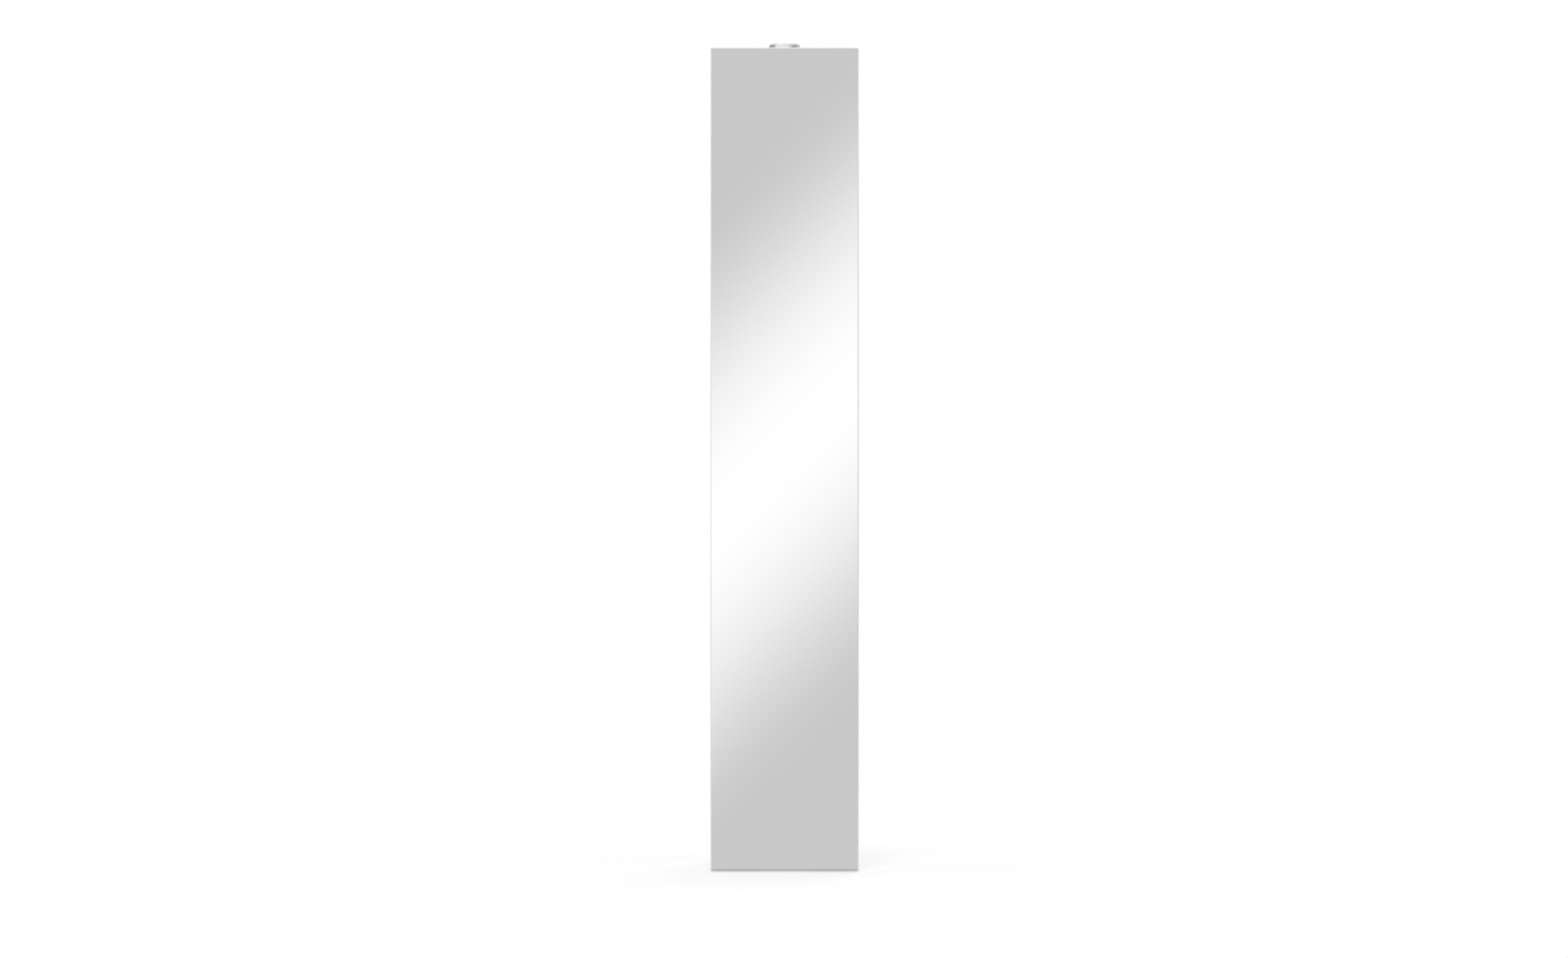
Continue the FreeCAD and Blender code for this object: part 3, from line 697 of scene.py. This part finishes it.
# Turntable and fittings

def turned_material(name, colour, roughness):
    """Metal turned on a lathe about the upright axis."""
    material, shader, place = new_material(name)
    rings_per_metre = 2600.0
    outward = shader.axis_distance(place) * rings_per_metre
    upward = shader.split(place)[2] * rings_per_metre
    section = shader.add("ShaderNodeCombineXYZ", {0: outward, 1: upward})
    rings = shader.noise(section, scale=1.0)
    shader.surface({
        "Base Color": shader.vary(rings, colour, darkest=0.88, palest=1.08),
        "Metallic": 1.0,
        "Roughness": shader.around(rings, roughness, width=0.16),
        "Normal": shader.bump(rings, strength=0.15, depth=0.0001),
    })
    return material


def plated_material(name, colour, roughness):
    """Zinc plating with soft clouds and a faint passivation tint."""
    material, shader, place = new_material(name)
    cloud = shader.noise(place, scale=45.0, detail=4.0)
    tint = shader.smooth(shader.noise(place, scale=18.0), low=0.35, high=0.65)
    warm = tinted(colour, red=1.04, blue=0.94)
    cool = tinted(colour, red=0.95, blue=1.05)
    shader.surface({
        "Base Color": shader.blend(cloud * 0.25, shader.blend(tint, warm, cool), shade(colour, 0.7)),
        "Metallic": 1.0,
        "Roughness": shader.around(cloud, roughness, width=0.2),
        "Normal": shader.bump(cloud, strength=0.05, depth=0.0002),
    })
    return material


def rubber_material():
    """Anti-slip rubber with a fine raised grid."""
    material, shader, place = new_material("mat_rubber")
    across, along = shader.split(place)[:2]
    radians_per_metre = 1600.0
    ridges = shader.maths("SINE", across * radians_per_metre)
    grid = ridges * shader.maths("SINE", along * radians_per_metre)
    dust = shader.noise(place, scale=120.0, detail=3.0)
    shader.surface({
        "Base Color": shader.vary(dust, RUBBER, darkest=1.0, palest=1.35),
        "Roughness": shader.around(dust, middle=0.775, width=0.15),
        "Normal": shader.bump(grid, strength=0.5, depth=0.0005),
    })
    return material


def beech_material():
    """Fluted beech with grain along the dowel."""
    material, shader, place = new_material("beech")
    grain = shader.streaks(place, per_metre=(60.0, 1200.0, 1200.0), detail=3.0)
    shader.surface({
        "Base Color": shader.blend(grain, DARK_BEECH, PALE_BEECH),
        "Roughness": 0.62,
        "Normal": shader.bump(grain, strength=0.25, depth=0.0003),
    })
    return material


class CABINET_OT_turntable(Operator):
    """Finish the floor turntable"""

    bl_idname = "mirror_cabinet.turntable"
    bl_label = "Finish Turntable"

    def execute(self, context):
        dress(rubber_material(), "floor_mat")
        dress(plated_material("plate_zinc", PLATE_ZINC, roughness=0.42), "floor_plate")
        ease(PLATE_EASING, "floor_plate")
        turned = turned_material("turned_aluminium", RACE_ALUMINIUM, roughness=0.32)
        dress(turned, "outer_race", "inner_race")
        dress(plated_material("ball_steel", BALL_STEEL, roughness=0.14), "bearing_balls")
        return {"FINISHED"}


class CABINET_OT_fittings(Operator):
    """Finish the screws, cams, dowels and shelf pins"""

    bl_idname = "mirror_cabinet.fittings"
    bl_label = "Finish Fittings"

    def execute(self, context):
        zinc = plated_material("screw_zinc", SCREW_ZINC, roughness=0.36)
        dress(zinc, *SCREWS, "cam_bolts", "pivot_plate", "pivot_bolt")
        dress(plated_material("cast_zinc", CAST_ZINC, roughness=0.5), "cam_nuts")
        dress(plated_material("pin_nickel", PIN_NICKEL, roughness=0.3), "shelf_pins")
        ease(FITTING_EASING, "shelf_pins", "pivot_plate")
        dress(beech_material(), "dowels")
        return {"FINISHED"}


# Studio

def floor_material(studio):
    """Pale matt floor that fades to plain white towards its rim."""
    material, shader, place = new_material("studio_floor")
    fade_start = studio.floor_radius * 0.35
    fade_end = studio.floor_radius * 0.97
    darkest = (0.9, 0.9, 0.9)
    palest = (0.92, 0.92, 0.92)
    outer = shader.smooth(shader.axis_distance(place), fade_start, fade_end)
    grain = shader.noise(place, scale=40.0)
    matt = shader.add("ShaderNodeBsdfPrincipled", {
        "Base Color": shader.blend(grain, darkest, palest),
        "Roughness": 0.8,
        "Specular IOR Level": 0.2,
    })
    white = shader.add("ShaderNodeEmission", {"Color": (1.0, 1.0, 1.0, 1.0), "Strength": 1.0})
    clear = shader.add("ShaderNodeBsdfTransparent")
    camera_ray = shader.add("ShaderNodeLightPath", output="Is Camera Ray")
    lifted = shader.add("ShaderNodeMixShader", {0: camera_ray * studio.floor_lift, 1: matt, 2: white})
    rim = shader.add("ShaderNodeMixShader", {0: camera_ray, 1: clear, 2: white})
    shader.finish(shader.add("ShaderNodeMixShader", {0: outer, 1: lifted, 2: rim}))
    return material


def studio_floor(studio):
    """Round floor that shows the cabinet's shadow and stays out of reflections."""
    mesh = bmesh.new()
    bmesh.ops.create_circle(mesh, cap_ends=True, segments=96, radius=studio.floor_radius)
    floor = new_piece("studio_floor", mesh, (floor_material(studio),), smooth_angle=math.radians(30))
    floor.visible_glossy = False


def between(shader, value, low, high, soft):
    """1 between two limits, with soft ends outside them."""
    return shader.smooth(value, low - soft, low) * shader.fade(value, high, high + soft)


def arc(shader, heading, start, end, soft):
    """1 between two headings, in degrees from the front, with soft ends outside them."""
    return between(shader, heading, math.radians(start), math.radians(end), math.radians(soft))


def above_horizon(shader, rise, high, end):
    """1 from just above the horizon up to a height, from where it fades to its end."""
    return shader.smooth(rise, low=0.02, high=0.07) * shader.fade(rise, high, end)


def slanting_band(shader, studio, across, ahead, up):
    """Light band that crosses the mirror from lower left to upper right: 1 at its middle, 0 outside."""
    drift = across / ahead
    height = (up / ahead - drift) * studio.camera_distance - studio.band_rise
    share = height / studio.band_reach
    profile = shader.maths("MAXIMUM", 1.0 - share * share, 0.0)
    return profile * profile * between(shader, drift, low=-0.2, high=0.03, soft=0.05)


def dark_flanks(shader, heading, rise):
    """Dark walls to the left and right, low above the horizon, for the sides of the round cap."""
    right_share = 0.8
    left = arc(shader, heading, start=-122, end=-102, soft=30)
    right = arc(shader, heading, start=74, end=92, soft=32)
    return (left + right * right_share) * above_horizon(shader, rise, high=0.08, end=0.3)


def pale_panel(shader, studio, heading, rise):
    """A pale panel in front, for the round cap, parted near the horizon to keep it out of the mirror."""
    left_end = shader.fade(heading * -1.0, math.radians(60), math.radians(74))
    lean = 1.2
    right_end = shader.fade(heading + rise * lean, math.radians(26), math.radians(70))
    mirror_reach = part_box("mirror_glass")[1].x / studio.camera_distance
    middle = shader.fade(abs(heading), mirror_reach * 1.1, mirror_reach * 1.8)
    parting = middle * shader.fade(rise, low=0.1, high=0.14)
    return left_end * right_end * (1.0 - parting) * above_horizon(shader, rise, high=0.5, end=0.9)


def low_light(shader, studio, heading, rise):
    """Slanting stripes below the horizon, for a turned mirror; away from the front they begin higher."""
    pitch = math.radians(12)
    slope = 0.6
    wave = shader.maths("SINE", (rise - heading * slope) * (math.tau / pitch))
    stripes = shader.smooth(wave, 0.0, 1.0) * studio.stripe_level
    ground = 0.04
    aside = shader.smooth(abs(heading), math.radians(2), math.radians(7))
    side_lift = aside * 0.15
    return (stripes + ground) * shader.smooth(rise * -1.0 + side_lift, low=0.13, high=0.24)


def overhead_light(shader, studio, heading, rise):
    """Light from above, which begins higher to the right."""
    right_lift = arc(shader, heading, start=-5, end=120, soft=20) * 0.14
    return shader.smooth(rise - right_lift, low=0.6, high=1.1) * studio.overhead_level


def mirrored_light(shader, studio):
    """What metal and mirror see: a grey room, a slanting light band in front, soft shapes round it."""
    ray = shader.add("ShaderNodeTexCoord", output="Generated")
    across, along, up = shader.split(ray)
    forward = along * -1.0
    ahead = shader.maths("MAXIMUM", forward, 0.001)
    heading = shader.maths("ARCTAN2", across, forward)
    rise = shader.maths("ARCSINE", up)

    grey = studio.grey_level
    panel = pale_panel(shader, studio, heading, rise)
    band = slanting_band(shader, studio, across, ahead, up) * (1.0 - panel)
    light = band * (studio.band_level - grey) + grey
    light = light - dark_flanks(shader, heading, rise) * (grey - studio.flank_level)
    light = light + panel * (studio.panel_level - grey)
    light = light + low_light(shader, studio, heading, rise)
    return light + overhead_light(shader, studio, heading, rise)


def studio_world(studio):
    """White for the camera, a grey room for reflections, soft light for everything else."""
    world = bpy.data.worlds.new("white_studio")
    world.use_nodes = True
    shader = Shader(world.node_tree)
    seen = shader.add("ShaderNodeLightPath", output="Is Camera Ray")
    glossy = shader.add("ShaderNodeLightPath", output="Is Glossy Ray")
    light = mirrored_light(shader, studio) * glossy + (1.0 - glossy) * studio.room_level
    light = seen + light * (1.0 - seen)
    grey = shader.add("ShaderNodeCombineColor", {0: light, 1: light, 2: light})
    background = shader.add("ShaderNodeBackground", {"Color": grey, "Strength": 1.0})
    shader.finish(background, "ShaderNodeOutputWorld")
    bpy.context.scene.world = world


def soft_lamp(name, place, power):
    """Large square lamp, left out of reflections so that the mirror stays plain."""
    data = bpy.data.lights.new(name, "AREA")
    data.shape = "SQUARE"
    data.size = LAMP_SIZE
    data.energy = power
    lamp = bpy.data.objects.new(name, data)
    lamp.location = place
    lamp.rotation_euler = (Vector(LAMP_AIM) - Vector(place)).to_track_quat("-Z", "Y").to_euler()
    lamp.visible_glossy = False
    bpy.context.scene.collection.objects.link(lamp)


def studio_camera(studio):
    """Level long lens, a little below the middle of the mirror."""
    data = bpy.data.cameras.new("front_camera")
    data.sensor_width = 36.0
    data.lens = data.sensor_width * studio.camera_distance / studio.frame_width
    data.clip_end = 100.0
    camera = bpy.data.objects.new("front_camera", data)
    mirror_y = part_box("mirror_glass")[0].y
    camera.location = (studio.camera_side, mirror_y - studio.camera_distance, studio.camera_height)
    camera.rotation_euler = (math.radians(90), 0.0, 0.0)
    bpy.context.scene.collection.objects.link(camera)
    bpy.context.scene.camera = camera


class CABINET_OT_studio(Operator):
    """Make the floor, the surroundings, the lamps and the camera"""

    bl_idname = "mirror_cabinet.studio"
    bl_label = "Make Studio"

    def execute(self, context):
        studio = context.scene.mirror_cabinet_studio
        studio_floor(studio)
        studio_world(studio)
        for name, place, power in LAMPS:
            soft_lamp(name, place, power)
        studio_camera(studio)
        context.scene.view_settings.view_transform = "Standard"
        return {"FINISHED"}


# Panel and registration

class CABINET_PT_panel(Panel):
    """Settings and steps of the cabinet"""

    bl_idname = "CABINET_PT_panel"
    bl_label = "Rotating Mirror Cabinet"
    bl_space_type = "VIEW_3D"
    bl_region_type = "UI"
    bl_category = "Cabinet"

    def draw(self, context):
        for group_name in SETTING_GROUPS:
            group = getattr(context.scene, group_name)
            column = self.layout.column(align=True)
            for key in type(group).__annotations__:
                column.prop(group, key)
        for operator in OPERATORS:
            self.layout.operator(operator.bl_idname)


SETTING_GROUPS = {
    "mirror_cabinet_carcass": CarcassSettings,
    "mirror_cabinet_mirror": MirrorSettings,
    "mirror_cabinet_pivot": PivotSettings,
    "mirror_cabinet_studio": StudioSettings,
}
OPERATORS = (
    CABINET_OT_studio,
    CABINET_OT_carcass,
    CABINET_OT_mirror,
    CABINET_OT_pivot,
    CABINET_OT_turntable,
    CABINET_OT_fittings,
)


def register():
    for group in SETTING_GROUPS.values():
        bpy.utils.register_class(group)
    for name, group in SETTING_GROUPS.items():
        setattr(bpy.types.Scene, name, PointerProperty(type=group))
    for operator in OPERATORS:
        bpy.utils.register_class(operator)
    bpy.utils.register_class(CABINET_PT_panel)


def unregister():
    bpy.utils.unregister_class(CABINET_PT_panel)
    for operator in reversed(OPERATORS):
        bpy.utils.unregister_class(operator)
    for name in SETTING_GROUPS:
        delattr(bpy.types.Scene, name)
    for group in SETTING_GROUPS.values():
        bpy.utils.unregister_class(group)


def main():
    register()
    bpy.ops.mirror_cabinet.studio()
    bpy.ops.mirror_cabinet.carcass()
    bpy.ops.mirror_cabinet.mirror()
    bpy.ops.mirror_cabinet.pivot()
    bpy.ops.mirror_cabinet.turntable()
    bpy.ops.mirror_cabinet.fittings()


if __name__ == "__main__":
    main()
